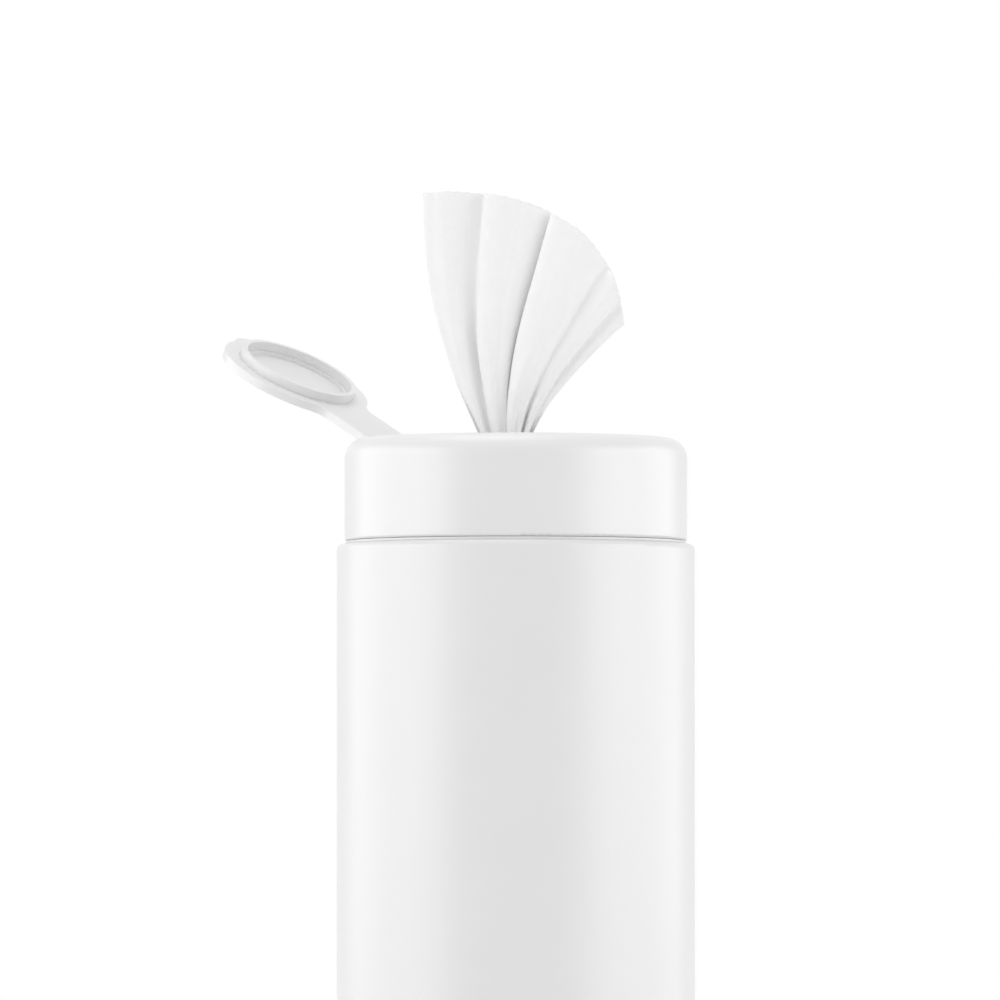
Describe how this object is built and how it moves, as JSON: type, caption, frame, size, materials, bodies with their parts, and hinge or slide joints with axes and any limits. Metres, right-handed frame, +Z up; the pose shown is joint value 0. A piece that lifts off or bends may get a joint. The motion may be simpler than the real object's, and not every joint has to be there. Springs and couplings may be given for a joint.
{
  "type": "countertop wipes dispenser",
  "caption": "Round white canister with a screw cap, a hinged flip lid with a sealing ring, a soft star valve and a roll of wipes drawn out from its middle.",
  "frame": {"origin": "centre of the foot pad's underside, on the canister's axis", "axes": "+Z up along the canister's axis; -Y is the front, as the picture shows it, with the flip lid's hinge at the back left"},
  "size_m": [0.12, 0.1089, 0.2623],
  "materials": {
    "shell_plastic": "satin white moulded plastic",
    "cap_plastic": "satin white moulded plastic",
    "soft_seal": "pale grey soft elastomer",
    "foot_rubber": "matt grey soft pad",
    "nonwoven": "moist white nonwoven with a fine emboss",
    "pin_steel": "drawn stainless wire"
  },
  "bodies": {
    "canister": {"canister_shell": "shell_plastic", "foot_pad": "foot_rubber"},
    "roll": {"wipe_roll": "nonwoven"},
    "liner": {"cap_liner": "soft_seal"},
    "cap": {"screw_cap": "cap_plastic", "orifice_valve": "soft_seal", "valve_retainer": "cap_plastic", "hinge_pin": "pin_steel"},
    "lid": {"flip_lid": "cap_plastic", "lid_plug_seal": "soft_seal"},
    "wipe": {"wipe_strand": "nonwoven", "lead_wipe": "nonwoven"}
  },
  "joints": [
    {"name": "roll_turn", "type": "hinge", "parent": "canister", "child": "roll", "pos_m": [0, 0, 0.02], "axis": [0, 0, 1], "continuous": true},
    {"name": "cap_lift", "type": "slide", "parent": "canister", "child": "liner", "axis": [0, 0, 1], "range_m": [0, 0.02]},
    {"name": "cap_turn", "type": "hinge", "parent": "liner", "child": "cap", "pos_m": [0, 0, 0.19], "axis": [0, 0, 1], "range_deg": [0, 720]},
    {"name": "flip_hinge", "type": "hinge", "parent": "cap", "child": "lid", "pos_m": [-0.0313, 0.0249, 0.1986], "axis": [-0.6225, -0.7826, 0], "range_deg": [-151, 0], "deforming": ["lead_wipe"]},
    {"name": "wipe_pull", "type": "slide", "parent": "cap", "child": "wipe", "axis": [0, 0, 1], "range_m": [0, 0.05]}
  ],
  "couplings": [
    {"joint": "cap_lift", "follows": "cap_turn", "m_per_rad": 0.0015915}
  ]
}
